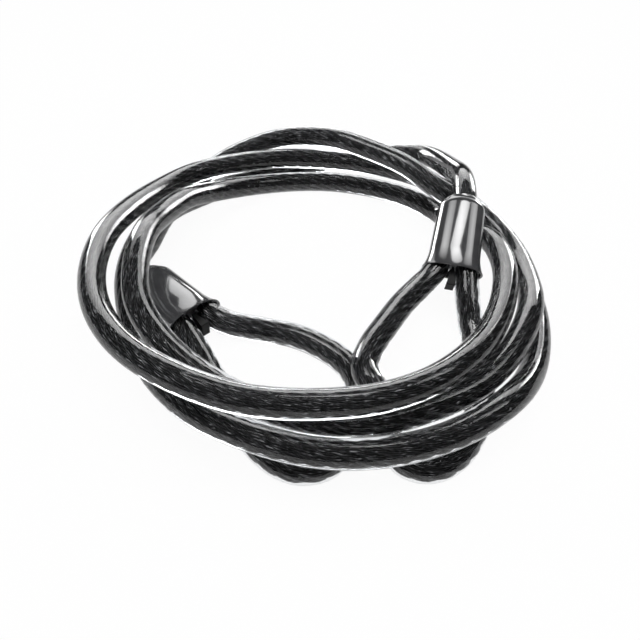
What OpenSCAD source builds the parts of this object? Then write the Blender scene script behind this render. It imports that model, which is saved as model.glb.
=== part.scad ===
// Double-loop security cable: a steel wire rope in a clear jacket, coiled into loops, with an
// eye at each end. Each eye is closed by a crimped double-barrel ferrule under a moulded cover.
// Millimetres, Z up. The coil lies on the plane z = 0.

/* [Cable] */
// Outside diameter of the clear jacket
cable_d = 10; // [9:0.1:10.4]
// Diameter of the stranded wire rope inside the jacket
rope_d = 5.6; // [4:0.1:6.4]
// Radial room between the rope and the bore of the jacket
jacket_fit = 0.3; // [0.1:0.05:0.5]
// Radius of the coil, to the centre of a cable in lane 0
coil_r = 84; // [76:0.5:92]

/* [Ferrule] */
// Length of the crimped ferrule
ferrule_len = 18; // [14:0.5:22]
// Wall of the ferrule round each bore
ferrule_wall = 0.9; // [0.7:0.05:1.2]
// Depth of the two pressed bands
crimp_depth = 0.3; // [0.1:0.05:0.5]
// Radial room between the rope and the bore of the ferrule
ferrule_fit = 0.2; // [0.05:0.05:0.3]
// Slant of the main barrel, which aims the cable at the middle of the narrow end
main_slant = 8.25; // [5:0.25:9]
// Slant of the tail barrel
tail_slant = 3.45; // [1:0.05:5]

/* [Cover] */
// Depth of the flared mouth, from the lip to the ferrule
mouth_depth = 3; // [2.5:0.25:5]
// Distance from the lip to the waist, where the flare ends
waist_u = 9; // [7:0.5:12]
// Length of the closed neck past the ferrule
neck_len = 12; // [9:0.5:15]
// Thinnest wall of the cover
cover_wall = 1; // [0.8:0.05:1.5]
// Room round the ferrule and round the cable in its hole
cover_fit = 0.3; // [0.1:0.05:0.5]
// Room beside the legs in the mouth
mouth_room = 0.6; // [0.5:0.05:1.2]
// Room above and below the legs in the mouth
mouth_headroom = 1.2; // [0.6:0.1:1.6]
// Gap between the two legs at the lip
leg_gap = 1.8; // [1.4:0.1:2.4]

/* [Plug] */
// Length of the wedge between the legs
plug_len = 9; // [6:0.5:11]
// Width of the wedge at its outer end
plug_w = 4; // [3:0.1:4.2]
// Height of the wedge
plug_h = 6; // [4:0.5:8]

/* [Hidden] */

tube_sides = 8;
rings_per_lap = 24;
curve_steps = 2;
disc = 0.2;                      // thickness of the discs that a hull spans
bore_run = 2;                    // how far a cutting tool runs past the wall it opens

rest_z = cable_d / 2 - cable_d / 10;        // a cable on the floor is pressed flat by a tenth
jacket_bore_r = rope_d / 2 + jacket_fit;
barrel_bore_r = rope_d / 2 + ferrule_fit;
barrel_r = barrel_bore_r + ferrule_wall;
leg_offset = (cable_d + leg_gap) / 2;       // from the middle of the mouth to each leg
ferrule_end = mouth_depth + ferrule_len;
cover_len = ferrule_end + neck_len;

// A slanted jacket end keeps clear of the ferrule's square face
end_gap = cover_fit + cable_d / 2 * sin(main_slant);
leg_start = mouth_depth - end_gap;
cable_start = ferrule_end + end_gap;
cable_straight = cable_start + cable_d;

// Half widths and half heights of the cover at its lip, its waist and its narrow end
lip_y = leg_offset + cable_d / 2 + mouth_room + cover_wall;
lip_z = cable_d / 2 + mouth_headroom + cover_wall;
waist_y = tail_offset(waist_u) + barrel_r + cover_fit + cover_wall;
end_y = tail_offset(ferrule_end) + barrel_r + cover_fit + cover_wall;
end_z = cable_d / 2 + cover_fit + cover_wall;
waist_z = (lip_z + end_z) / 2;
cover_oval = 2.8;               // 2 makes every section an ellipse, more makes it squarer
end_round = 4;                  // round-over of the narrow end
corner_steps = 6;
flare_steps = 5;
round_steps = 4;

// ---------------------------------------------------------------- route of the cable

// Middle of the coil, with the origin under the middle of the whole cable
coil_x = -0.75;
coil_y = -3.9;

// The coil in steps of one ring: [lane, layer] in cable diameters. Lane 0 lies on coil_r and
// layer 0 lies on the floor. It runs clockwise from above, from the left side.
first_step = 1;
lap_1 = [
    [-0.1, 0.05], [0.6, 0], [1.45, 0.15], [1.95, 0.8], [1.65, 1.6], [0.5, 2.2],
    [-0.3, 2.2], [-0.75, 2.1], [-0.8, 1.65], [-0.2, 1.35], [0.15, 1], [0.1, 1.05],
    [0.05, 1.3], [-0.1, 1.2], [-0.2, 1.1], [-0.3, 1.15], [-0.35, 1.15], [-0.55, 1.1],
    [-0.75, 1.2], [-0.75, 1.55], [-0.75, 1.85], [-0.8, 2.1], [-1.05, 2.3], [-1.2, 2.35]];
lap_2 = [
    [-1.2, 2], [-1.1, 1.65], [-0.8, 0.95], [-0.5, 0.4], [-0.2, 0.05], [-0.15, 0],
    [-0.15, 0], [-0.1, 0], [-0.4, 0.15], [-1.3, 0.8], [-1, 1.5], [-0.95, 1.6],
    [-1.05, 1.6], [-1.05, 1.7], [-0.9, 1.95], [-0.65, 2.15], [-0.45, 2.25], [-0.3, 2.3],
    [0.1, 2.5], [0.35, 2.6], [0.55, 2.55], [0.6, 2.4], [0.55, 2.25], [0.45, 2.15]];
lap_3 = [
    [0.4, 1.85], [0.6, 1.45], [0.85, 1.2], [0.65, 1.1], [0.5, 1.05], [0.3, 1.05],
    [0.3, 1.05], [0.4, 1.05], [0.75, 0.8], [0.8, 0.4], [0.7, 0.05], [0.6, 0],
    [0.65, 0.15], [0.8, 0.4], [0.9, 1.05], [0.85, 1.05], [0.75, 1.05], [0.6, 1.05],
    [0.35, 1.05], [0.1, 0.85], [-0.15, 0.9], [-0.45, 1.05], [-0.55, 1.35], [-0.6, 1.4]];
lap_4 = [
    [-0.5, 1.2], [-0.25, 0.8], [0.2, 0.25], [0.7, 0], [1.05, 0], [1.4, 0.3],
    [1.75, 0.9], [1.5, 1.65], [-0.1, 2.5]];
laps = concat(lap_1, lap_2, lap_3, lap_4);

// Between the coil and the covers: [x, y, layer] from the middle of the coil
from_left_cover = [[-80.8, 5.5, 0.25]];
to_right_cover = [[60.5, 42, 2.95]];

// The two eyes, from leg to leg: [x, y, layer] from the middle of the coil
left_eye = [
    [-36.5, -28.2, 0.25], [-27, -28.8, 0.1], [-10, -31, 0], [3, -37.5, 0],
    [12, -46, 0], [15.8, -56, 0], [14.4, -66.5, 0], [12, -78, 0],
    [5.5, -87, 0], [-1, -90, 0], [-8, -89.5, 0], [-16, -84.5, 0],
    [-23.5, -76, 0], [-31, -64.5, 0], [-39.5, -52.5, 0.05], [-44.7, -44.5, 0.15]];
right_eye = [
    [59.5, -14, 0.75], [60.5, -23, 0.3], [61.5, -33, 0.05], [61.5, -46, 0],
    [59, -59, 0], [55, -71, 0], [48.5, -81, 0], [41, -86.5, 0],
    [33.5, -87, 0], [28, -83, 0], [26, -76.5, 0], [25, -70.5, 0.25],
    [22.8, -66, 0.7], [19, -61.5, 1], [16.5, -54, 1.05], [19.5, -44, 1.1],
    [25, -33.5, 1.1], [31.8, -21.5, 1.1], [38.9, -11.5, 1.1], [43.2, -6, 1.15]];

// Free points and covers are placed in a coil of radius placed_r, and keep their distance from
// its turns when coil_r changes
placed_r = 84;
function kept(x, y) = [x, y] * (1 + (coil_r - placed_r) / norm([x, y]));

// A cover's place: middle of its mouth, heading and rise of its narrow end, and its roll
left_place = [concat(kept(-49, -28.5), [lip_z]), 137, 0, 180];
right_place = [concat(kept(53.4, -2.4), [16.8]), 79.5, 26, 0];

function on_floor(x, y, layer) = [coil_x + x, coil_y + y, rest_z + layer * cable_d];
function laid(points) = [
    for (p = points) let (at = kept(p[0], p[1])) on_floor(at[0], at[1], p[2])];
function coil_point(i) =
    let (turn = 180 - (i + first_step) * 360 / rings_per_lap,
         r = coil_r + laps[i][0] * cable_d)
    on_floor(r * cos(turn), r * sin(turn), laps[i][1]);

// Distance of each barrel from the middle of the cover, at a distance u from its lip
function main_offset(u) = leg_offset - u * tan(main_slant);
function tail_offset(u) = leg_offset - u * tan(tail_slant);

// A point in a cover: u along it from the lip, and aside towards the main barrel
function in_cover(place, u, aside) =
    let (yaw = place[1],
         pitch = place[2],
         along = [cos(yaw) * cos(pitch), sin(yaw) * cos(pitch), sin(pitch)],
         right = [sin(yaw), -cos(yaw), 0] * cos(place[3]))
    [coil_x, coil_y, 0] + place[0] + u * along + aside * right;
function in_main(place, u) = in_cover(place, u, main_offset(u));
function in_tail(place, u) = in_cover(place, u, -tail_offset(u));

// Catmull-Rom curve through the points, with curve_steps chords between two points
function curve_part(a, b, c, d, t) =
    (2 * b + (c - a) * t + (2 * a - 5 * b + 4 * c - d) * t * t
     + (3 * b - a - 3 * c + d) * t * t * t) / 2;
function curve(p) =
    let (n = len(p) - 1)
    [for (i = [0:n - 1], k = [0:curve_steps - 1])
        curve_part(i > 0 ? p[i - 1] : 2 * p[0] - p[1], p[i], p[i + 1],
                   i < n - 1 ? p[i + 2] : 2 * p[n] - p[n - 1], k / curve_steps),
     p[n]];

left_eye_path = curve(concat(
    [in_tail(left_place, leg_start), in_tail(left_place, 1)],
    laid(left_eye),
    [in_main(left_place, 1), in_main(left_place, leg_start)]));
right_eye_path = curve(concat(
    [in_main(right_place, leg_start), in_main(right_place, 1)],
    laid(right_eye),
    [in_tail(right_place, 1.5), in_tail(right_place, leg_start)]));
coil_path = concat(
    [in_main(left_place, cable_start), in_main(left_place, cable_straight)],
    laid(from_left_cover),
    [for (i = [0:len(laps) - 1]) coil_point(i)],
    laid(to_right_cover),
    [in_main(right_place, cable_straight), in_main(right_place, cable_start)]);
rope_path = concat(
    [in_tail(left_place, ferrule_end)],
    left_eye_path, coil_path, right_eye_path,
    [in_tail(right_place, ferrule_end)]);

// ---------------------------------------------------------------- the coil's gap to itself

function chord_distance(p, a, b) =
    let (run = b - a, t = max(0, min(1, (p - a) * run / (run * run))))
    norm(p - a - t * run);
neighbour_chords = 5;
samples_per_chord = 4;
coil_gap = min([
    for (i = [0:len(coil_path) - 2 - neighbour_chords], k = [0:samples_per_chord - 1])
        let (p = coil_path[i] + (coil_path[i + 1] - coil_path[i]) * k / samples_per_chord)
        for (j = [i + neighbour_chords:len(coil_path) - 2])
            chord_distance(p, coil_path[j], coil_path[j + 1])]) - cable_d;
function path_length(path) =
    let (steps = [for (i = [1:len(path) - 1]) norm(path[i] - path[i - 1])])
    steps * [for (s = steps) 1];
echo(coil_gap_to_itself = coil_gap);
echo(coil_length = path_length(coil_path), left_eye_length = path_length(left_eye_path),
     right_eye_length = path_length(right_eye_path), rope_length = path_length(rope_path));

// ---------------------------------------------------------------- swept tubes

function unit(v) = v / norm(v);
function ring(path, i, radius) =
    let (along = unit(path[min(i + 1, len(path) - 1)] - path[max(i - 1, 0)]),
         side = unit(cross(along, [0, 0, 1])),
         lift = cross(side, along))
    [for (k = [0:tube_sides - 1])
        let (a = 360 * (k + 0.5) / tube_sides,
             p = path[i] + radius * (cos(a) * side + sin(a) * lift))
        [p[0], p[1], max(p[2], 0)]];
function rings(path, radius) = [for (i = [0:len(path) - 1]) each ring(path, i, radius)];

// Two triangles for each side of the wall between ring i and the next one
function wall_faces(ring_count, first, flip) = [
    for (i = [0:ring_count - 2], k = [0:tube_sides - 1])
        let (a = first + i * tube_sides + k,
             b = first + i * tube_sides + (k + 1) % tube_sides,
             c = a + tube_sides,
             d = b + tube_sides)
        each flip ? [[a, c, b], [b, c, d]] : [[a, b, c], [b, d, c]]];
function annulus_faces(outer, inner, flip) = [
    for (k = [0:tube_sides - 1])
        let (a = outer + k,
             b = outer + (k + 1) % tube_sides,
             c = inner + k,
             d = inner + (k + 1) % tube_sides)
        each flip ? [[a, c, b], [b, c, d]] : [[a, b, c], [b, d, c]]];
function cap_faces(first, flip) = [
    for (k = [1:tube_sides - 2])
        flip ? [first, first + k + 1, first + k] : [first, first + k, first + k + 1]];

module solid_tube(path, radius) {
    count = len(path);
    last = (count - 1) * tube_sides;
    polyhedron(
        points = rings(path, radius),
        faces = concat(wall_faces(count, 0, false), cap_faces(0, true), cap_faces(last, false)));
}

module hollow_tube(path, radius, bore_radius) {
    count = len(path);
    last = (count - 1) * tube_sides;
    inner = count * tube_sides;
    polyhedron(
        points = concat(rings(path, radius), rings(path, bore_radius)),
        faces = concat(
            wall_faces(count, 0, false), wall_faces(count, inner, true),
            annulus_faces(0, inner, true), annulus_faces(last, inner + last, false)));
}

module jacket(path) {
    color([0.55, 0.56, 0.58, 0.45]) hollow_tube(path, cable_d / 2, jacket_bore_r);
}

// ---------------------------------------------------------------- pieces at a cover's place
// In a cover's own frame X runs from the lip to the narrow end and the main barrel is at -Y.

module at_place(place) {
    translate([coil_x, coil_y, 0] + place[0])
        rotate([0, -place[2], place[1]])
            rotate([place[3], 0, 0])
                children();
}

module barrel_disc(u, y, radius) {
    translate([u, y, 0]) rotate([0, 90, 0]) cylinder(r = radius, h = disc, $fn = 32);
}

module barrel_pair(from, to, radius) {
    hull() {
        for (u = [from, to - disc]) {
            barrel_disc(u, -main_offset(u), radius);
            barrel_disc(u, tail_offset(u), radius);
        }
    }
}

// A round hole along a slanted barrel: side is -1 for the main barrel and 1 for the tail
module slanted_hole(side, slant, from, to, radius) {
    translate([0, side * leg_offset, 0])
        rotate([0, 0, -side * slant])
            translate([from, 0, 0])
                rotate([0, 90, 0])
                    cylinder(r = radius, h = to - from, $fn = 48);
}

// Double-barrel ferrule with two pressed bands
module ferrule() {
    land = ferrule_len / 5;
    difference() {
        for (i = [0:4])
            barrel_pair(mouth_depth + i * land, mouth_depth + (i + 1) * land,
                        barrel_r - (i % 2 == 1 ? crimp_depth : 0));
        slanted_hole(-1, main_slant, mouth_depth - bore_run, ferrule_end + bore_run,
                     barrel_bore_r);
        slanted_hole(1, tail_slant, mouth_depth - bore_run, ferrule_end + bore_run,
                     barrel_bore_r);
    }
}

// Outline of a flat oval section, as points at u: a superellipse
function oval(c) = sign(c) * pow(abs(c), 2 / cover_oval);
function section(u, half_y, half_z) =
    let (count = 4 * (corner_steps + 1))
    [for (k = [0:count - 1])
        let (a = 360 * (k + 0.5) / count)
        [u, half_y * oval(cos(a)), half_z * oval(sin(a))]];

// Closed skin through sections of equal point counts, in order along X
module loft(sections) {
    n = len(sections[0]);
    last = (len(sections) - 1) * n;
    sides = [
        for (i = [0:len(sections) - 2], k = [0:n - 1])
            let (a = i * n + k, b = i * n + (k + 1) % n)
            each [[a, a + n, b], [b, a + n, b + n]]];
    caps = [
        for (k = [1:n - 2])
            each [[0, k, k + 1], [last, last + k + 1, last + k]]];
    polyhedron(points = [for (s = sections) each s], faces = concat(sides, caps));
}

// Flat oval moulding that flares to its lip and rounds over at its narrow end
module cover_skin() {
    flare = [
        for (i = [0:flare_steps])
            let (u = waist_u * i / flare_steps, f = pow(1 - i / flare_steps, 2))
            section(u, waist_y + f * (lip_y - waist_y), waist_z + f * (lip_z - waist_z))];
    round_over = [
        for (i = [0:round_steps])
            let (a = 90 * i / round_steps, inset = end_round * (1 - cos(a)))
            section(cover_len - end_round + end_round * sin(a), end_y - inset, end_z - inset)];
    loft(concat(flare, round_over));
}

// The mouth, which takes both legs of the eye
module mouth_cavity() {
    side_y = lip_y - cover_wall;
    side_z = lip_z - cover_wall;
    floor_y = tail_offset(mouth_depth) + cable_d / 2 + cover_fit / 2;
    floor_z = cable_d / 2 + 2 * cover_fit;
    loft([
        section(-bore_run, side_y, side_z),
        section(0, side_y, side_z),
        section(mouth_depth, floor_y, floor_z)]);
}

module cover() {
    difference() {
        cover_skin();
        mouth_cavity();
        barrel_pair(mouth_depth - 1, ferrule_end + cover_fit, barrel_r + cover_fit);
        slanted_hole(-1, main_slant, ferrule_end - 1, cover_len + 2 * bore_run,
                     cable_d / 2 + cover_fit);
    }
}

// Square-cut wedge in the crotch of the eye, between the two legs
module plug() {
    plug_root = 1;
    root_w = leg_gap / 2;
    translate([0, 0, -plug_h / 2])
        linear_extrude(plug_h)
            polygon([[plug_root, -root_w / 2], [plug_root, root_w / 2],
                     [plug_root - plug_len, plug_w / 2], [plug_root - plug_len, -plug_w / 2]]);
}

// ---------------------------------------------------------------- nodes

module wire_rope() {
    color([0.32, 0.33, 0.35]) solid_tube(rope_path, rope_d / 2);
}

module coil_jacket() jacket(coil_path);
module left_eye_jacket() jacket(left_eye_path);
module right_eye_jacket() jacket(right_eye_path);

module left_ferrule() {
    color([0.7, 0.7, 0.71]) at_place(left_place) ferrule();
}

module right_ferrule() {
    color([0.7, 0.7, 0.71]) at_place(right_place) ferrule();
}

module left_cover() {
    color([0.2, 0.21, 0.23]) at_place(left_place) cover();
}

module right_cover() {
    color([0.2, 0.21, 0.23]) at_place(right_place) cover();
}

module left_plug() {
    color([0.05, 0.05, 0.06]) at_place(left_place) plug();
}

module right_plug() {
    color([0.05, 0.05, 0.06]) at_place(right_place) plug();
}

wire_rope();
coil_jacket();
left_eye_jacket();
right_eye_jacket();
left_ferrule();
right_ferrule();
left_cover();
right_cover();
left_plug();
right_plug();
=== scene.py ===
"""A double-loop security cable: steel rope in a clear jacket, coiled, with an eye at each end.

Each eye is closed by a crimped ferrule under a moulded cover. Everything is in metres, Z up, in the
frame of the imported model. Sizes of the cable itself are written in millimetres, as it is sold.
"""
import logging
import math
from dataclasses import dataclass
from enum import Enum
from typing import Any, Iterable, Sequence

import bmesh
import bpy
from mathutils import Matrix, Vector


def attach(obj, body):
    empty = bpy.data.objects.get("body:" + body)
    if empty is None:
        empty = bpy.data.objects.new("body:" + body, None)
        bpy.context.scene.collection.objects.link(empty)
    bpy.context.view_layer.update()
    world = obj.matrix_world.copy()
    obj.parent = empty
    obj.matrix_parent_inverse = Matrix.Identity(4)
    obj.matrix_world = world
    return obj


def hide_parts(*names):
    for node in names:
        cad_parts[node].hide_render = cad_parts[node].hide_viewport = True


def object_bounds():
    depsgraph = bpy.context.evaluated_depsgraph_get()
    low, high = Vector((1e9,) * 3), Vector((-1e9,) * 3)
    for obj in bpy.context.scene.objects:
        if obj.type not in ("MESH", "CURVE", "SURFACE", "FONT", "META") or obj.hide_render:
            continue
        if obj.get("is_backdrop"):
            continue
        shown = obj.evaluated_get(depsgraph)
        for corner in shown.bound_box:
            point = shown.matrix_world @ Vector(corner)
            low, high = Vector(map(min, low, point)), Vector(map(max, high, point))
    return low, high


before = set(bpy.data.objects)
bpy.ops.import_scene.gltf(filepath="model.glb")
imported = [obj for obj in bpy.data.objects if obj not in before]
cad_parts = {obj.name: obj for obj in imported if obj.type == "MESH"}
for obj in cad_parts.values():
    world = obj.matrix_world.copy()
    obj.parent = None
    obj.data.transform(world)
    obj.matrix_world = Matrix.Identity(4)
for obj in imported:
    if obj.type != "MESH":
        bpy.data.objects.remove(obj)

log = logging.getLogger("security_cable")
MM = 0.001
BODY = "root"
IMAGE_SIDE = 640

# Longest steps along the cable's skin, in millimetres
COIL_SPACING = 4.5
EYE_SPACING = 2.5

# Distances inside the lip, in millimetres, at which the legs of an eye line up with their barrels
LINED_UP = 1.0
RAISED_TAIL_LINED_UP = 1.5

# Half the angle, in degrees, that a lamp without a grid shines over
NO_GRID = 90.0


# ------------------------------------------------------------------ sizes and places


@dataclass(frozen=True)
class CableSizes:
    """Sizes of the cable, its ferrules and its covers, in millimetres."""

    cable_d: float = 10.0
    rope_d: float = 5.6
    coil_r: float = 84.0
    flatten: float = 0.1
    rings_per_lap: int = 24
    mouth_depth: float = 3.0
    waist_u: float = 9.0
    ferrule_len: float = 18.0
    neck_len: float = 12.0
    main_slant: float = 8.25
    tail_slant: float = 3.45
    leg_gap: float = 1.8
    ferrule_wall: float = 0.9
    ferrule_fit: float = 0.2
    cover_wall: float = 1.0
    cover_fit: float = 0.3
    mouth_room: float = 0.6
    mouth_headroom: float = 1.2
    plug_len: float = 8.0
    plug_w: float = 3.6
    plug_h: float = 6.0

    @property
    def rest_z(self) -> float:
        """Height of the centre of a cable that lies on the floor."""
        return self.cable_d / 2 - self.cable_d * self.flatten

    @property
    def leg_offset(self) -> float:
        """Distance of each leg of the eye from the middle of the mouth."""
        return (self.cable_d + self.leg_gap) / 2

    @property
    def ferrule_end(self) -> float:
        """Distance from the lip to the far face of the ferrule."""
        return self.mouth_depth + self.ferrule_len

    @property
    def cover_len(self) -> float:
        """Length of the cover from its lip to its narrow end."""
        return self.ferrule_end + self.neck_len

    @property
    def end_gap(self) -> float:
        """Room between a ferrule face and the centre of a slanted jacket end."""
        return self.cover_fit + self.cable_d / 2 * math.sin(math.radians(self.main_slant))

    def main_offset(self, u: float) -> float:
        """Offset of the main barrel at a distance u from the lip."""
        return self.leg_offset - u * math.tan(math.radians(self.main_slant))

    def tail_offset(self, u: float) -> float:
        """Offset of the tail barrel at a distance u from the lip."""
        return self.leg_offset - u * math.tan(math.radians(self.tail_slant))

    def barrel_r(self) -> float:
        """Outer radius of one barrel of the ferrule."""
        return self.rope_d / 2 + self.ferrule_fit + self.ferrule_wall


SIZES = CableSizes()
LIP_Z = SIZES.cable_d / 2 + SIZES.mouth_headroom + SIZES.cover_wall
COIL_CENTRE = Vector((-0.75, -3.9, 0.0))

# The middle of the raised cover, where the lamps that it mirrors are aimed, in metres
COVER_SPOT = (0.053, 0.008, 0.025)

# The coil in steps of one ring, as (lane, layer) in cable diameters: lane 0 lies on coil_r, layer 0
# on the floor. It runs clockwise from above, from the left side.
FIRST_STEP = 1
LAP_1 = (
    (-0.1, 0.05), (0.6, 0), (1.45, 0.15), (1.95, 0.8), (1.65, 1.6), (0.5, 2.2),
    (-0.3, 2.2), (-0.75, 2.1), (-0.8, 1.65), (-0.2, 1.35), (0.15, 1), (0.1, 1.05),
    (0.05, 1.3), (-0.1, 1.2), (-0.2, 1.1), (-0.3, 1.15), (-0.35, 1.15), (-0.55, 1.1),
    (-0.75, 1.2), (-0.75, 1.55), (-0.75, 1.85), (-0.8, 2.1), (-1.05, 2.3), (-1.2, 2.35))
LAP_2 = (
    (-1.2, 2), (-1.1, 1.65), (-0.8, 0.95), (-0.5, 0.4), (-0.2, 0.05), (-0.15, 0),
    (-0.15, 0), (-0.1, 0), (-0.4, 0.15), (-1.3, 0.8), (-1, 1.5), (-0.95, 1.6),
    (-1.05, 1.6), (-1.05, 1.7), (-0.9, 1.95), (-0.65, 2.15), (-0.45, 2.25), (-0.3, 2.3),
    (0.1, 2.5), (0.35, 2.6), (0.55, 2.55), (0.6, 2.4), (0.55, 2.25), (0.45, 2.15))
LAP_3 = (
    (0.4, 1.85), (0.6, 1.45), (0.85, 1.2), (0.65, 1.1), (0.5, 1.05), (0.3, 1.05),
    (0.3, 1.05), (0.4, 1.05), (0.75, 0.8), (0.8, 0.4), (0.7, 0.05), (0.6, 0),
    (0.65, 0.15), (0.8, 0.4), (0.9, 1.05), (0.85, 1.05), (0.75, 1.05), (0.6, 1.05),
    (0.35, 1.05), (0.1, 0.85), (-0.15, 0.9), (-0.45, 1.05), (-0.55, 1.35), (-0.6, 1.4))
LAP_4 = (
    (-0.5, 1.2), (-0.25, 0.8), (0.2, 0.25), (0.7, 0), (1.05, 0), (1.4, 0.3),
    (1.75, 0.9), (1.5, 1.65), (-0.1, 2.5))

# Free points as (x, y, layer) from the middle of the coil
FROM_LEFT_COVER = ((-80.8, 5.5, 0.25),)
TO_RIGHT_COVER = ((60.5, 42, 2.95),)
LEFT_EYE = (
    (-36.5, -28.2, 0.25), (-27, -28.8, 0.1), (-10, -31, 0), (3, -37.5, 0),
    (12, -46, 0), (15.8, -56, 0), (14.4, -66.5, 0), (12, -78, 0),
    (5.5, -87, 0), (-1, -90, 0), (-8, -89.5, 0), (-16, -84.5, 0),
    (-23.5, -76, 0), (-31, -64.5, 0), (-39.5, -52.5, 0.05), (-44.7, -44.5, 0.15))
RIGHT_EYE = (
    (59.5, -14, 0.75), (60.5, -23, 0.3), (61.5, -33, 0.05), (61.5, -46, 0),
    (59, -59, 0), (55, -71, 0), (48.5, -81, 0), (41, -86.5, 0),
    (33.5, -87, 0), (28, -83, 0), (26, -76.5, 0), (25, -70.5, 0.25),
    (22.8, -66, 0.7), (19, -61.5, 1), (16.5, -54, 1.05), (19.5, -44, 1.1),
    (25, -33.5, 1.1), (31.8, -21.5, 1.1), (38.9, -11.5, 1.1), (43.2, -6, 1.15))


@dataclass(frozen=True)
class CoverPlace:
    """Where a cover lies: the middle of its mouth in millimetres, and its angles in degrees."""

    mouth: tuple[float, float, float]
    yaw: float
    pitch: float
    roll: float

    def matrix(self) -> Matrix:
        """Placement of a cover modelled with X from its lip to its narrow end, in millimetres."""
        turn = (
            Matrix.Rotation(math.radians(self.yaw), 4, "Z")
            @ Matrix.Rotation(math.radians(-self.pitch), 4, "Y")
            @ Matrix.Rotation(math.radians(self.roll), 4, "X"))
        return Matrix.Translation(COIL_CENTRE + Vector(self.mouth)) @ turn

    def main(self, u: float) -> Vector:
        """Point on the axis of the main barrel."""
        return self.matrix() @ Vector((u, -SIZES.main_offset(u), 0))

    def tail(self, u: float) -> Vector:
        """Point on the axis of the tail barrel."""
        return self.matrix() @ Vector((u, SIZES.tail_offset(u), 0))


class Side(Enum):
    """The two ends of the cable, by where they lie."""

    LEFT = CoverPlace((-49, -28.5, LIP_Z), 137, 0, 180)
    RIGHT = CoverPlace((53.4, -2.4, 16.8), 79.5, 26, 0)

    @property
    def label(self) -> str:
        """Word that starts the names of this end's pieces."""
        return self.name.lower()


# ------------------------------------------------------------------ routes


def on_floor(x: float, y: float, layer: float) -> Vector:
    """A centre of the cable, in millimetres.

    Args:
        x: Distance to the right of the middle of the coil.
        y: Distance behind the middle of the coil.
        layer: Height above the lowest layer, in cable diameters.

    Returns:
        The point in the frame of the model.
    """
    return COIL_CENTRE + Vector((x, y, SIZES.rest_z + layer * SIZES.cable_d))


def coil_points() -> list[Vector]:
    """The centres of the coil, one for each ring of every lap."""
    points = []
    for i, (lane, layer) in enumerate(LAP_1 + LAP_2 + LAP_3 + LAP_4):
        turn = math.radians(180 - (i + FIRST_STEP) * 360 / SIZES.rings_per_lap)
        radius = SIZES.coil_r + lane * SIZES.cable_d
        points.append(on_floor(radius * math.cos(turn), radius * math.sin(turn), layer))
    return points


def smooth_route(points: Sequence[Vector], spacing: float) -> list[Vector]:
    """A Catmull-Rom curve through points, cut into steps of about one length.

    Args:
        points: The points that the curve goes through, in millimetres.
        spacing: The longest step wanted, in millimetres.

    Returns:
        The points along the curve, first and last included.
    """
    route = []
    last = len(points) - 1
    for i in range(last):
        a = points[i - 1] if i else 2 * points[0] - points[1]
        b, c = points[i], points[i + 1]
        d = points[i + 2] if i < last - 1 else 2 * points[last] - points[last - 1]
        steps = max(1, math.ceil((c - b).length / spacing))
        for k in range(steps):
            t = k / steps
            route.append(0.5 * (2 * b + (c - a) * t + (2 * a - 5 * b + 4 * c - d) * t ** 2
                                + (3 * b - a - 3 * c + d) * t ** 3))
    route.append(points[last].copy())
    return route


def eye_points(side: Side) -> list[Vector]:
    """The points of one eye, in the order in which the rope runs through it."""
    place = side.value
    start = SIZES.mouth_depth - SIZES.end_gap
    if side is Side.LEFT:
        return ([place.tail(start), place.tail(LINED_UP)] + [on_floor(*p) for p in LEFT_EYE]
                + [place.main(LINED_UP), place.main(start)])
    return ([place.main(start), place.main(LINED_UP)] + [on_floor(*p) for p in RIGHT_EYE]
            + [place.tail(RAISED_TAIL_LINED_UP), place.tail(start)])


def eased(route: Sequence[Vector], passes: int = 8,
          pulls: tuple[float, float] = (0.5, -0.53)) -> list[Vector]:
    """A route with its short kinks eased out and its long curves kept.

    Args:
        route: Evenly spaced points.
        passes: How often each point is drawn towards its neighbours and back.
        pulls: Share of the way that it is drawn towards them, and then away from them.

    Returns:
        The same number of points, with both ends as they were.
    """
    points = [p.copy() for p in route]
    for _ in range(passes):
        for pull in pulls:
            middles = [(a + c) / 2 - b for a, b, c in zip(points, points[1:], points[2:])]
            for i in range(2, len(points) - 2):
                points[i] = points[i] + pull * middles[i - 1]
    return points


def coil_route_points() -> list[Vector]:
    """The points of the coiled length, from the left cover to the right one."""
    start = SIZES.ferrule_end + SIZES.end_gap
    straight = start + SIZES.cable_d
    left, right = Side.LEFT.value, Side.RIGHT.value
    points = ([left.main(start), left.main(straight)] + [on_floor(*p) for p in FROM_LEFT_COVER]
              + coil_points() + [on_floor(*p) for p in TO_RIGHT_COVER]
              + [right.main(straight), right.main(start)])
    return eased(smooth_route(points, COIL_SPACING))


# ------------------------------------------------------------------ finishes


def srgb(hex_colour: str) -> tuple[float, float, float, float]:
    """An sRGB hex colour as linear RGBA.

    Args:
        hex_colour: Six hex digits, with or without a leading #.

    Returns:
        Linear red, green and blue, and an alpha of 1.
    """
    digits = hex_colour.lstrip("#")
    values = [int(digits[i:i + 2], 16) / 255 for i in (0, 2, 4)]
    linear = [v / 12.92 if v <= 0.04045 else ((v + 0.055) / 1.055) ** 2.4 for v in values]
    return (*linear, 1.0)


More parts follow.
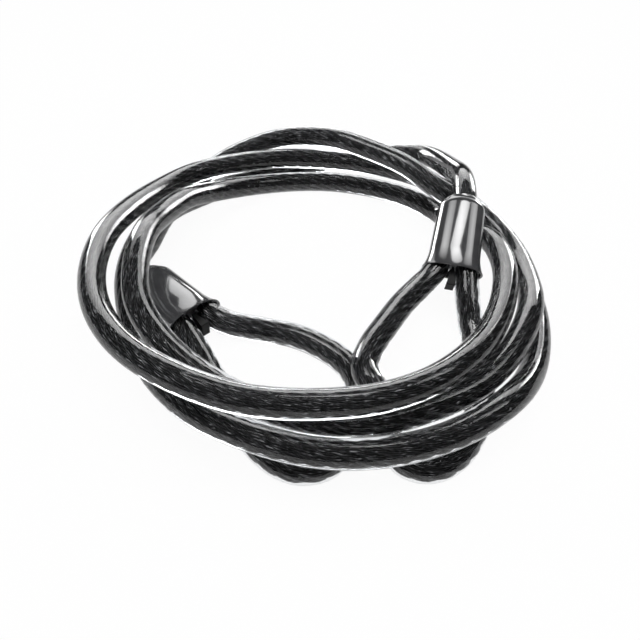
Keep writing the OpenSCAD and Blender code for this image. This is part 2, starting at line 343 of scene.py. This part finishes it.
@dataclass
class Shader:
    """A material's node tree, with one way to add a node."""

    material: bpy.types.Material

    @classmethod
    def named(cls, name: str) -> "Shader":
        """A new material of that name with an empty node tree."""
        material = bpy.data.materials.new(name)
        material.use_nodes = True
        material.node_tree.nodes.clear()
        return cls(material)

    def add(self, kind: str, settings: dict[str, Any] | None = None,
            **inputs: Any) -> bpy.types.Node:
        """Adds a node.

        Args:
            kind: The node's type name.
            settings: Values for the node's own properties.
            **inputs: Socket names with _ for a space, or in0, in1 and so on for sockets by
                number, each a constant or a socket to link.

        Returns:
            The new node.
        """
        node = self.material.node_tree.nodes.new(kind)
        for key, value in (settings or {}).items():
            setattr(node, key, value)
        for key, value in inputs.items():
            name = key.replace("_", " ")
            by_number = name.startswith("in") and name[2:].isdigit()
            socket = node.inputs[int(name[2:]) if by_number else name]
            if isinstance(value, bpy.types.NodeSocket):
                self.material.node_tree.links.new(value, socket)
            else:
                socket.default_value = value
        return node

    def math(self, operation: str, a: Any, b: Any = 0.0, c: Any = 0.0) -> bpy.types.NodeSocket:
        """Adds a Math node and returns its output."""
        return self.add("ShaderNodeMath", {"operation": operation}, in0=a, in1=b, in2=c).outputs[0]

    def ramp(self, value: Any, stops: Iterable[tuple[float, str]]) -> bpy.types.NodeSocket:
        """Adds a Color Ramp over value and returns its colour output."""
        node = self.add("ShaderNodeValToRGB", Fac=value)
        elements = node.color_ramp.elements
        stops = list(stops)
        while len(elements) < len(stops):
            elements.new(0.5)
        for element, (position, colour) in zip(elements, stops):
            element.position = position
            element.color = srgb(colour)
        return node.outputs["Color"]

    def surface(self, shader: bpy.types.Node) -> bpy.types.Material:
        """Links a shader node to the output and returns the material."""
        self.add("ShaderNodeOutputMaterial", Surface=shader.outputs[0])
        return self.material


@dataclass(frozen=True)
class ClearPvc:
    """Extruded clear PVC: a trace of grey in it, and a gently rippled, finely grained skin."""

    tint: str = "#eceef0"
    ior: float = 1.53
    roughness: float = 0.06
    ripple_mm: float = 9.0
    grain_mm: float = 1.2
    grain_share: float = 0.2
    ripple_depth_mm: float = 0.12

    def material(self) -> bpy.types.Material:
        """Builds the material."""
        tree = Shader.named("clear_pvc_extruded")
        where = tree.add("ShaderNodeTexCoord").outputs["Object"]
        ripple = tree.add("ShaderNodeTexNoise", Vector=where, Scale=1 / (self.ripple_mm * MM),
                          Detail=2.0, Roughness=0.4).outputs["Fac"]
        grain = tree.add("ShaderNodeTexNoise", Vector=where, Scale=1 / (self.grain_mm * MM),
                         Detail=2.0, Roughness=0.6).outputs["Fac"]
        skin = tree.math("MULTIPLY_ADD", grain, self.grain_share, ripple)
        bump = tree.add("ShaderNodeBump", Height=skin, Strength=1.0,
                        Distance=self.ripple_depth_mm * MM)
        pvc = tree.add("ShaderNodeBsdfPrincipled", Base_Color=srgb(self.tint), IOR=self.ior,
                       Roughness=self.roughness, Transmission_Weight=1.0,
                       Normal=bump.outputs["Normal"])
        return tree.surface(pvc)


@dataclass(frozen=True)
class GalvanisedStrand:
    """Galvanised steel wire laid into strands, with a painted highlight on the wire crowns and
    painted shade in the grooves.

    The wires are drawn coarser than real ones, so that they can be told apart from a step away.
    """

    # The crown colour is a painted highlight and the groove colour is painted shade; side is the
    # colour between them.
    crown_highlight: str = "#969697"
    side: str = "#2f2f30"
    groove_shade: str = "#0a0a0a"
    strands: int = 6
    wires_round: int = 36
    wire_slant_mm: float = 1.9
    fleck_mm: float = 5.0
    roughness: float = 0.3
    wire_height_mm: float = 0.25
    # Depth of the painted shade between the strands.
    strand_valley_shade: float = 0.15
    wander: float = 2.2
    wander_round: float = 12.0
    wander_mm: float = 8.0
    sparse: tuple[float, float] = (0.46, 0.70)
    greased: float = 0.35
    fleck_height: float = 0.4
    stops: tuple[float, float, float] = (0.08, 0.40, 0.92)

    def material(self) -> bpy.types.Material:
        """Builds the material on the rope's own map: turns around it, millimetres along it."""
        tree = Shader.named("galvanised_steel_strand")
        map_uv = tree.add("ShaderNodeUVMap", {"uv_map": "lay"}).outputs["UV"]
        split = tree.add("ShaderNodeSeparateXYZ", Vector=map_uv)
        turns, along = split.outputs["X"], split.outputs["Y"]
        # Painted shade between strands: the colour darkens away from each strand's middle.
        lobe = tree.math("COSINE", tree.math("MULTIPLY", turns, 2 * math.pi * self.strands))
        strand = tree.math("MULTIPLY_ADD", lobe, self.strand_valley_shade, 1 - self.strand_valley_shade)
        place = tree.add("ShaderNodeCombineXYZ", X=tree.math("MULTIPLY", turns, self.wander_round),
                         Y=tree.math("DIVIDE", along, self.wander_mm)).outputs[0]
        wander = tree.add("ShaderNodeTexNoise", Vector=place, Scale=1.0, Detail=2.0).outputs["Fac"]
        phase = tree.math("SUBTRACT", tree.math("MULTIPLY", turns, float(self.wires_round)),
                          tree.math("DIVIDE", along, self.wire_slant_mm))
        phase = tree.math("MULTIPLY_ADD", wander, self.wander, phase)
        # Each wire's profile lightens the colour at its crown as a painted highlight and darkens it
        # in its groove as painted shade; it also raises the bump.
        wire = tree.math("ABSOLUTE", tree.math("SINE", tree.math("MULTIPLY", phase, math.pi)))
        cell = tree.add("ShaderNodeCombineXYZ", X=tree.math("FLOOR", phase),
                        Y=tree.math("DIVIDE", along, self.fleck_mm)).outputs[0]
        fleck = tree.add("ShaderNodeTexNoise", Vector=cell, Scale=1.0, Detail=2.0,
                         Roughness=0.6).outputs["Fac"]
        worn = tree.add("ShaderNodeMapRange", Value=fleck, From_Min=self.sparse[0],
                        From_Max=self.sparse[1], To_Min=self.greased,
                        To_Max=1.0).outputs["Result"]
        # Painted highlight and shade of the wires and strands, times the random greased dulling,
        # picks the colour from the shaded groove to the highlighted crown.
        painted_light_and_grease = tree.math("MULTIPLY", tree.math("MULTIPLY", wire, strand), worn)
        colour = tree.ramp(painted_light_and_grease, zip(self.stops, (self.groove_shade, self.side, self.crown_highlight)))
        height = tree.math("MULTIPLY_ADD", fleck, self.fleck_height, wire)
        bump = tree.add("ShaderNodeBump", Height=height, Strength=0.9,
                        Distance=self.wire_height_mm * MM)
        steel = tree.add("ShaderNodeBsdfPrincipled", Base_Color=colour, Metallic=1.0,
                         Roughness=self.roughness, Normal=bump.outputs["Normal"])
        return tree.surface(steel)


@dataclass(frozen=True)
class GlossMoulding:
    """Injection-moulded ABS, polished tool: dark, glossy, with a barely uneven skin."""

    name: str = "abs_gloss_moulded"
    colour: str = "#3d3d3f"
    worn: str = "#464748"
    roughness: float = 0.12
    coat: float = 0.6
    specular: float = 0.5
    ior: float = 1.54
    coat_roughness: float = 0.04
    stops: tuple[float, float] = (0.35, 0.75)
    grain_mm: float = 6.0
    grain_depth_mm: float = 0.03

    def material(self) -> bpy.types.Material:
        """Builds the material."""
        tree = Shader.named(self.name)
        where = tree.add("ShaderNodeTexCoord").outputs["Object"]
        flow = tree.add("ShaderNodeTexNoise", Vector=where, Scale=1 / (self.grain_mm * MM),
                        Detail=3.0, Roughness=0.5).outputs["Fac"]
        colour = tree.ramp(flow, zip(self.stops, (self.colour, self.worn)))
        bump = tree.add("ShaderNodeBump", Height=flow, Strength=0.5,
                        Distance=self.grain_depth_mm * MM)
        abs_skin = tree.add("ShaderNodeBsdfPrincipled", Base_Color=colour, IOR=self.ior,
                            Roughness=self.roughness, Coat_Weight=self.coat,
                            Specular_IOR_Level=self.specular,
                            Coat_Roughness=self.coat_roughness, Normal=bump.outputs["Normal"])
        return tree.surface(abs_skin)


@dataclass(frozen=True)
class PressedAluminium:
    """Pressed aluminium sleeve: pale metal with fine drawing lines along it."""

    colour: str = "#c4c6c8"
    roughness: float = 0.3
    roughness_spread: float = 0.15
    line_mm: float = 0.4
    line_depth_mm: float = 0.03

    def material(self) -> bpy.types.Material:
        """Builds the material."""
        tree = Shader.named("pressed_aluminium")
        where = tree.add("ShaderNodeTexCoord").outputs["Object"]
        lines = tree.add("ShaderNodeTexNoise", Vector=where, Scale=1 / (self.line_mm * MM),
                         Detail=2.0).outputs["Fac"]
        rough = tree.math("MULTIPLY_ADD", lines, self.roughness_spread, self.roughness)
        bump = tree.add("ShaderNodeBump", Height=lines, Strength=0.3,
                        Distance=self.line_depth_mm * MM)
        metal = tree.add("ShaderNodeBsdfPrincipled", Base_Color=srgb(self.colour), Metallic=1.0,
                         Roughness=rough, Normal=bump.outputs["Normal"])
        return tree.surface(metal)


@dataclass(frozen=True)
class WhiteSweep:
    """Seamless white paper: white to the eye and through glass, dimmer in what mirrors it."""

    paper: str = "#ffffff"
    glow: float = 0.94
    mirrored: float = 0.3

    def material(self) -> bpy.types.Material:
        """Builds the floor's material."""
        tree = Shader.named("white_paper_sweep")
        path = tree.add("ShaderNodeLightPath")
        eye = tree.math("MAXIMUM", path.outputs["Is Camera Ray"],
                        path.outputs["Is Transmission Ray"])
        mirror = tree.math("MULTIPLY", path.outputs["Is Glossy Ray"], self.mirrored)
        seen = tree.math("MULTIPLY", self.glow, tree.math("MAXIMUM", eye, mirror))
        paper = tree.add("ShaderNodeBsdfDiffuse", Color=srgb(self.paper))
        white = tree.add("ShaderNodeEmission", Color=(1, 1, 1, 1), Strength=1.0)
        mix = tree.add("ShaderNodeMixShader", Fac=seen, in1=paper.outputs[0], in2=white.outputs[0])
        return tree.surface(mix)


# ------------------------------------------------------------------ mesh tools


def finish_piece(bm: bmesh.types.BMesh, name: str, material: bpy.types.Material,
                 nodes: Sequence[str], smooth: bool = True) -> bpy.types.Object:
    """Turns a bmesh into a finished piece of the object.

    Args:
        bm: The mesh, in metres and in place. It is freed.
        name: Name of the piece.
        material: Its finish.
        nodes: Names of the model's nodes that it stands for.
        smooth: True to shade it smooth.

    Returns:
        The object, which rides on the body.
    """
    mesh = bpy.data.meshes.new(name)
    for face in bm.faces:
        face.smooth = smooth
    bm.to_mesh(mesh)
    bm.free()
    piece = bpy.data.objects.new(name, mesh)
    bpy.context.scene.collection.objects.link(piece)
    mesh.materials.append(material)
    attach(piece, BODY)
    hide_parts(*nodes)
    log.info("%s: %d faces", name, len(mesh.polygons))
    return piece


@dataclass
class Sweep:
    """Rings of points carried along a route, in millimetres, never lower than the floor."""

    route: list[Vector]

    def frame_at(self, i: int) -> tuple[Vector, Vector]:
        """Sideways and upward directions across the route at point i."""
        last = len(self.route) - 1
        along = (self.route[min(i + 1, last)] - self.route[max(i - 1, 0)]).normalized()
        side = along.cross(Vector((0, 0, 1))).normalized()
        return side, side.cross(along)

    def ring(self, bm: bmesh.types.BMesh, i: int,
             outline: Sequence[tuple[float, float]]) -> list[bmesh.types.BMVert]:
        """Adds one ring of vertices.

        Args:
            bm: The mesh to add to.
            i: Index of the point of the route.
            outline: Angle in radians and radius in millimetres of each vertex.

        Returns:
            The ring's vertices in order.
        """
        side, lift = self.frame_at(i)
        ring = []
        for angle, radius in outline:
            p = self.route[i] + radius * (math.cos(angle) * side + math.sin(angle) * lift)
            p.z = max(p.z, 0.0)
            ring.append(bm.verts.new(p * MM))
        return ring


def join_rings(bm: bmesh.types.BMesh, a: list, b: list) -> list[bmesh.types.BMFace]:
    """Joins two rings of equal length with a band of faces."""
    n = len(a)
    return [bm.faces.new((a[k], a[(k + 1) % n], b[(k + 1) % n], b[k])) for k in range(n)]


def evenly(count: int, radius: float) -> list[tuple[float, float]]:
    """A round outline of count points."""
    return [(2 * math.pi * (k + 0.5) / count, radius) for k in range(count)]


# ------------------------------------------------------------------ the cable


@dataclass
class Jacket:
    """A length of clear jacket: a hose whose bore is smaller than the rope it is moulded on."""

    name: str
    points: list[Vector]
    sides: int = 40
    spacing: float = COIL_SPACING
    bore_r: float = 1.4
    lay: str = "loose"

    def build(self, material: bpy.types.Material) -> bpy.types.Object:
        route = smooth_route(self.points, self.spacing)
        sweep = Sweep(route)
        bm = bmesh.new()
        outer, inner = (
            [sweep.ring(bm, i, evenly(self.sides, radius)) for i in range(len(route))]
            for radius in (SIZES.cable_d / 2, self.bore_r))
        for a, b in zip(outer, outer[1:]):
            join_rings(bm, a, b)
        for a, b in zip(inner, inner[1:]):
            join_rings(bm, b, a)
        join_rings(bm, inner[0], outer[0])
        join_rings(bm, outer[-1], inner[-1])
        bmesh.ops.recalc_face_normals(bm, faces=bm.faces)
        piece = finish_piece(bm, self.name, material, [self.name])
        piece.visible_shadow = False
        return piece


@dataclass
class WireRope:
    """Six strands laid round a core, as one lobed skin that turns along the rope."""

    strands: int = 6
    lay_mm: float = 40.0
    spacing: float = 1.6
    filled: float = 0.86
    fan: tuple[float, ...] = (-30.0, -24.0, -12.0, 0.0, 12.0, 24.0)

    def outline(self) -> list[tuple[float, float]]:
        """Angle and radius of each point of the lobed section."""
        radius = SIZES.rope_d / 2
        strand_r = radius / 3
        pitch_r = radius - strand_r
        points = []
        for strand in range(self.strands):
            for fan in self.fan:
                a = math.radians(fan)
                reach = max(0.0, strand_r ** 2 - (pitch_r * math.sin(a)) ** 2)
                r = max(pitch_r * math.cos(a) + math.sqrt(reach), radius * self.filled)
                points.append((a + 2 * math.pi * strand / self.strands, r))
        return points

    def route(self) -> list[Vector]:
        """The rope's centres, through both eyes, both ferrules and the coil."""
        left, right = Side.LEFT.value, Side.RIGHT.value
        return ([left.tail(SIZES.ferrule_end)]
                + smooth_route(eye_points(Side.LEFT), self.spacing)
                + smooth_route(coil_route_points(), self.spacing)
                + smooth_route(eye_points(Side.RIGHT), self.spacing)
                + [right.tail(SIZES.ferrule_end)])

    def build(self, material: bpy.types.Material) -> bpy.types.Object:
        """Builds the rope with its map of turns and millimetres."""
        route = self.route()
        sweep = Sweep(route)
        outline = self.outline()
        count = len(outline)
        bm = bmesh.new()
        lay_map = bm.loops.layers.uv.new("lay")
        travelled = 0.0
        rings, marks = [], []
        for i, point in enumerate(route):
            travelled += (point - route[i - 1]).length if i else 0.0
            twist = -2 * math.pi * travelled / self.lay_mm
            rings.append(sweep.ring(bm, i, [(a + twist, r) for a, r in outline]))
            marks.append(travelled)
        for i in range(len(rings) - 1):
            for k, face in enumerate(join_rings(bm, rings[i], rings[i + 1])):
                corners = ((k, i), (k + 1, i), (k + 1, i + 1), (k, i + 1))
                for loop, (around, ring) in zip(face.loops, corners):
                    loop[lay_map].uv = (around / count, marks[ring])
        bm.faces.new(rings[0][::-1])
        bm.faces.new(rings[-1])
        bmesh.ops.recalc_face_normals(bm, faces=bm.faces)
        piece = finish_piece(bm, "wire_rope", material, ["wire_rope"])
        return piece


# ------------------------------------------------------------------ the covers


@dataclass
class Cover:
    """A flat oval moulding that flares to its lip and rounds over at its narrow end.

    The lip is a list of pairs: the distance into the mouth, and the depth below the outer skin
    as a share of the wall. The narrow end's sides round in on an arc of end_round, and its top
    comes down by end_lower at most.
    """

    side: Side
    oval: float = 2.25
    count: int = 72
    lip: tuple[tuple[float, float], ...] = ((0.8, 1.0), (0.2, 0.9), (0.0, 0.6), (0.0, 0.2))
    flare_start: float = 0.2
    flare_steps: int = 10
    end_steps: int = 6
    end_turn: float = 60.0
    end_round: float = 4.0
    end_lower: float = 0.8
    end_arch: float = 2.0
    arch_start: float = 0.6
    hole_room: float = 0.15
    hole_bevel: float = 0.1
    hole_rim: float = 0.4
    hole_depth: float = 9.0
    crease: float = 50.0

    def section(self, u: float, half_y: float, half_z: float, arch: float = 0.0) -> list[Vector]:
        """Points of a superellipse across the cover at u, its middle drawn out by arch."""
        power = 2 / self.oval
        points = []
        for k in range(self.count):
            a = 2 * math.pi * (k + 0.5) / self.count
            y = math.copysign(abs(math.cos(a)) ** power, math.cos(a))
            z = math.copysign(abs(math.sin(a)) ** power, math.sin(a))
            points.append(Vector((u + arch * (1 - y * y), half_y * y, half_z * z)))
        return points

    def hole_ring(self, u: float, radius: float) -> list[Vector]:
        """Points of a round hole about the main barrel's axis at u."""
        centre = -SIZES.main_offset(u)
        return [Vector((u, centre + radius * math.cos(a), radius * math.sin(a)))
                for a in (2 * math.pi * (k + 0.5) / self.count for k in range(self.count))]

    def profile(self) -> list[list[Vector]]:
        """The rings of the skin, from the floor of the mouth over the lip to the hole's bottom."""
        s = SIZES
        wall = s.cover_wall
        lip_y = s.leg_offset + s.cable_d / 2 + s.mouth_room + wall
        waist_y = s.tail_offset(s.waist_u) + s.barrel_r() + s.cover_fit + wall
        end_y = s.tail_offset(s.ferrule_end) + s.barrel_r() + s.cover_fit + wall
        end_z = s.cable_d / 2 + s.cover_fit + wall
        floor_y = s.tail_offset(s.mouth_depth) + s.cable_d / 2 + s.cover_fit / 2
        rings = [self.section(s.mouth_depth, floor_y, s.cable_d / 2 + 2 * s.cover_fit)]
        rings += [self.section(u, lip_y - wall * share, LIP_Z - wall * share)
                  for u, share in self.lip]
        for i in range(self.flare_steps + 1):
            t = i / self.flare_steps
            flare = (1 - t) ** 2
            rings.append(self.section(
                max(self.flare_start, s.waist_u * t), waist_y + flare * (lip_y - waist_y),
                end_z + flare * (LIP_Z - end_z)))
        for i in range(self.end_steps + 1):
            a = math.radians(self.end_turn * i / self.end_steps)
            inset = self.end_round * (1 - math.cos(a))
            arch = self.arch_start + (1 - self.arch_start) * i / self.end_steps
            rings.append(self.section(
                s.cover_len - self.end_round + self.end_round * math.sin(a),
                end_y - inset, end_z - min(inset, self.end_lower), self.end_arch * arch))
        hole_u = max(p.x for p in rings[-1])
        hole_r = s.cable_d / 2 + self.hole_room
        rings.append(self.hole_ring(hole_u + self.hole_bevel, hole_r + self.hole_bevel))
        rings.append(self.hole_ring(hole_u - self.hole_rim, hole_r))
        rings.append(self.hole_ring(hole_u - self.hole_depth, hole_r))
        return rings

    def build(self, material: bpy.types.Material) -> bpy.types.Object:
        """Builds the cover at its place."""
        name = f"{self.side.label}_cover"
        bm = bmesh.new()
        place = self.side.value.matrix()
        rings = [[bm.verts.new(place @ p * MM) for p in ring] for ring in self.profile()]
        for a, b in zip(rings, rings[1:]):
            join_rings(bm, a, b)
        bm.faces.new(rings[0])
        bm.faces.new(rings[-1])
        bmesh.ops.recalc_face_normals(bm, faces=bm.faces)
        for edge in bm.edges:
            edge.smooth = edge.calc_face_angle() < math.radians(self.crease)
        return finish_piece(bm, name, material, [name])


@dataclass
class Plug:
    """The square-cut wedge in the crotch of an eye."""

    side: Side
    root: float = 1.0
    edge: float = 0.35
    near: float = 0.01

    def build(self, material: bpy.types.Material) -> bpy.types.Object:
        """Builds the wedge at its place."""
        name = f"{self.side.label}_plug"
        bm = bmesh.new()
        bmesh.ops.create_cube(bm, size=1.0)
        tip = self.root - SIZES.plug_len
        for v in bm.verts:
            outer = v.co.x < 0
            width = SIZES.plug_w if outer else SIZES.leg_gap / 2
            v.co = Vector((tip if outer else self.root, v.co.y * width, v.co.z * SIZES.plug_h))
        outer_edges = [e for e in bm.edges if all(v.co.x < tip + self.near for v in e.verts)]
        bmesh.ops.bevel(bm, geom=outer_edges, offset=self.edge, segments=2, profile=0.5,
                        affect="EDGES", material=-1)
        bmesh.ops.transform(bm, matrix=Matrix.Scale(MM, 4) @ self.side.value.matrix(),
                            verts=bm.verts)
        return finish_piece(bm, name, material, [name], smooth=False)


# ------------------------------------------------------------------ studio


@dataclass(frozen=True)
class SoftBox:
    """A rectangular studio lamp, aimed at the coil or at one part of it.

    Its radiance is that of its middle, whatever its size. A lamp for mirrors only is seen in
    glossy skins and sheds no light. The half spread is the angle in degrees at which a grid
    over the box cuts it off.
    """

    name: str
    at: tuple[float, float, float]
    size: tuple[float, float]
    radiance: float
    mirrors_only: bool = False
    half_spread: float = NO_GRID
    aim: tuple[float, float, float] = (0.0, 0.0, 0.01)

    def build(self) -> bpy.types.Object:
        """Builds the lamp."""
        data = bpy.data.lights.new(self.name, "AREA")
        data.shape = "RECTANGLE"
        data.size, data.size_y = self.size
        data.energy = self.radiance * math.pi * self.size[0] * self.size[1]
        if self.half_spread < NO_GRID:
            # A grid gathers the lamp's power, so it is turned down until its middle is as bright
            half = math.radians(self.half_spread)
            data.spread = 2 * half
            data.energy *= 1 - half / math.tan(half)
        lamp = bpy.data.objects.new(self.name, data)
        lamp.location = self.at
        towards = Vector(self.aim) - Vector(self.at)
        lamp.rotation_euler = towards.to_track_quat("-Z", "Y").to_euler()
        lamp.visible_diffuse = not self.mirrors_only
        lamp.visible_glossy = self.mirrors_only
        bpy.context.scene.collection.objects.link(lamp)
        return lamp


@dataclass(frozen=True)
class Studio:
    """White paper, soft boxes and the camera."""

    elevation: float = 45.0
    roll: float = 3.0
    distance_mm: float = 242.3
    focal_pixels: float = 580.0
    target_mm: tuple[float, float, float] = (-0.75, -20.54, -1.0)
    clip: tuple[float, float] = (0.01, 20.0)
    paper_half: float = 3.0
    ambient: float = 0.45
    mirrored: float = 0.06
    # Name, place, size, radiance, for mirrors only, half spread, aim
    boxes: tuple[SoftBox, ...] = (
        SoftBox("overhead", (0.0, 0.1, 1.1), (1.0, 1.0), 2.4),
        SoftBox("window_low", (-0.14, 0.90, 0.11), (0.44, 0.20), 15.0, True, 11.0,
                (-0.07, -0.09, 0.01)),
        SoftBox("window_right", (0.27, 0.40, 0.16), (0.30, 0.26), 26.0, True, 17.0,
                (-0.14, -0.01, 0.01)),
        SoftBox("window_left", (-0.26, 0.36, 0.12), (0.24, 0.19), 30.0, True, 20.0,
                (0.14, -0.02, 0.01)),
        SoftBox("window_high", (0.0, 0.788, 0.531), (1.8, 0.40), 6.0, True, 45.0),
        SoftBox("cover_left", (-0.045, 0.035, 0.246), (0.14, 0.11), 8.0, True, 22.0, COVER_SPOT),
        SoftBox("cover_stripe", (0.074, 0.030, 0.264), (0.06, 0.12), 14.0, True, 22.0, COVER_SPOT),
        SoftBox("cover_edge", (0.190, 0.025, 0.222), (0.13, 0.10), 6.0, True, 22.0, COVER_SPOT),
    )

    def camera(self) -> None:
        """Places the camera."""
        elevation, roll = math.radians(self.elevation), math.radians(self.roll)
        forward = Vector((0, math.cos(elevation), -math.sin(elevation)))
        up = Vector((0, math.sin(elevation), math.cos(elevation)))
        right = Vector((1, 0, 0))
        x = math.cos(roll) * right + math.sin(roll) * up
        y = math.cos(roll) * up - math.sin(roll) * right
        data = bpy.data.cameras.new("camera")
        data.lens = self.focal_pixels / IMAGE_SIDE * data.sensor_width
        data.clip_start, data.clip_end = self.clip
        camera = bpy.data.objects.new("camera", data)
        turn = Matrix((x, y, -forward)).transposed().to_4x4()
        place = (Vector(self.target_mm) - self.distance_mm * forward) * MM
        camera.matrix_world = Matrix.Translation(place) @ turn
        bpy.context.scene.collection.objects.link(camera)
        bpy.context.scene.camera = camera

    def world(self) -> None:
        """Sets a world that is white to the eye and through glass, and nearly dark in mirrors."""
        world = bpy.data.worlds.new("white_studio")
        bpy.context.scene.world = world
        world.use_nodes = True
        nodes, links = world.node_tree.nodes, world.node_tree.links
        nodes.clear()
        path = nodes.new("ShaderNodeLightPath")
        seen = nodes.new("ShaderNodeMath")
        seen.operation = "MAXIMUM"
        links.new(path.outputs["Is Camera Ray"], seen.inputs[0])
        links.new(path.outputs["Is Transmission Ray"], seen.inputs[1])
        mixes = []
        for strength in (self.ambient, self.mirrored, 1.0):
            background = nodes.new("ShaderNodeBackground")
            background.inputs["Color"].default_value = (1, 1, 1, 1)
            background.inputs["Strength"].default_value = strength
            mixes.append(background)
        unseen = nodes.new("ShaderNodeMixShader")
        links.new(path.outputs["Is Glossy Ray"], unseen.inputs["Fac"])
        links.new(mixes[0].outputs[0], unseen.inputs[1])
        links.new(mixes[1].outputs[0], unseen.inputs[2])
        mix = nodes.new("ShaderNodeMixShader")
        links.new(seen.outputs[0], mix.inputs["Fac"])
        links.new(unseen.outputs[0], mix.inputs[1])
        links.new(mixes[2].outputs[0], mix.inputs[2])
        out = nodes.new("ShaderNodeOutputWorld")
        links.new(mix.outputs[0], out.inputs["Surface"])

    def floor(self) -> None:
        """Lays the white paper under the coil."""
        bm = bmesh.new()
        bmesh.ops.create_grid(bm, x_segments=1, y_segments=1, size=self.paper_half)
        mesh = bpy.data.meshes.new("floor")
        bm.to_mesh(mesh)
        bm.free()
        mesh.materials.append(WhiteSweep().material())
        floor = bpy.data.objects.new("floor", mesh)
        bpy.context.scene.collection.objects.link(floor)
        floor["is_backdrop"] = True

    def build(self) -> None:
        """Builds the whole studio."""
        bpy.context.scene.view_settings.view_transform = "Standard"
        self.world()
        self.floor()
        for box in self.boxes:
            box.build()


def dress_ferrules(material: bpy.types.Material) -> None:
    """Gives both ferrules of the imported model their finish, in place."""
    for side in Side:
        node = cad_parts[f"{side.label}_ferrule"]
        node.data.materials.clear()
        node.data.materials.append(material)
        log.info("%s_ferrule: dressed", side.label)


def corners(bounds: tuple[Vector, Vector]) -> list[list[float]]:
    """A pair of corners as plain lists."""
    return [list(corner) for corner in bounds]


def main() -> None:
    """Builds the cable and its studio."""
    logging.basicConfig(level=logging.INFO, format="%(name)s: %(message)s")
    cad_box = corners(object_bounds())
    studio = Studio()
    studio.camera()
    pvc = ClearPvc().material()
    Jacket("coil_jacket", coil_route_points(), lay="coiled").build(pvc)
    for side in Side:
        Jacket(f"{side.label}_eye_jacket", eye_points(side), spacing=EYE_SPACING).build(pvc)
    WireRope().build(GalvanisedStrand().material())
    moulding = GlossMoulding().material()
    black = GlossMoulding("abs_black_moulded", "#090909", "#0f0f10",
                          roughness=0.5, coat=0.0, specular=0.2).material()
    for side in Side:
        Cover(side).build(moulding)
        Plug(side).build(black)
    dress_ferrules(PressedAluminium().material())
    studio.build()
    {"cad": cad_box, "visual": corners(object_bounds())}


if __name__ == "__main__":
    main()
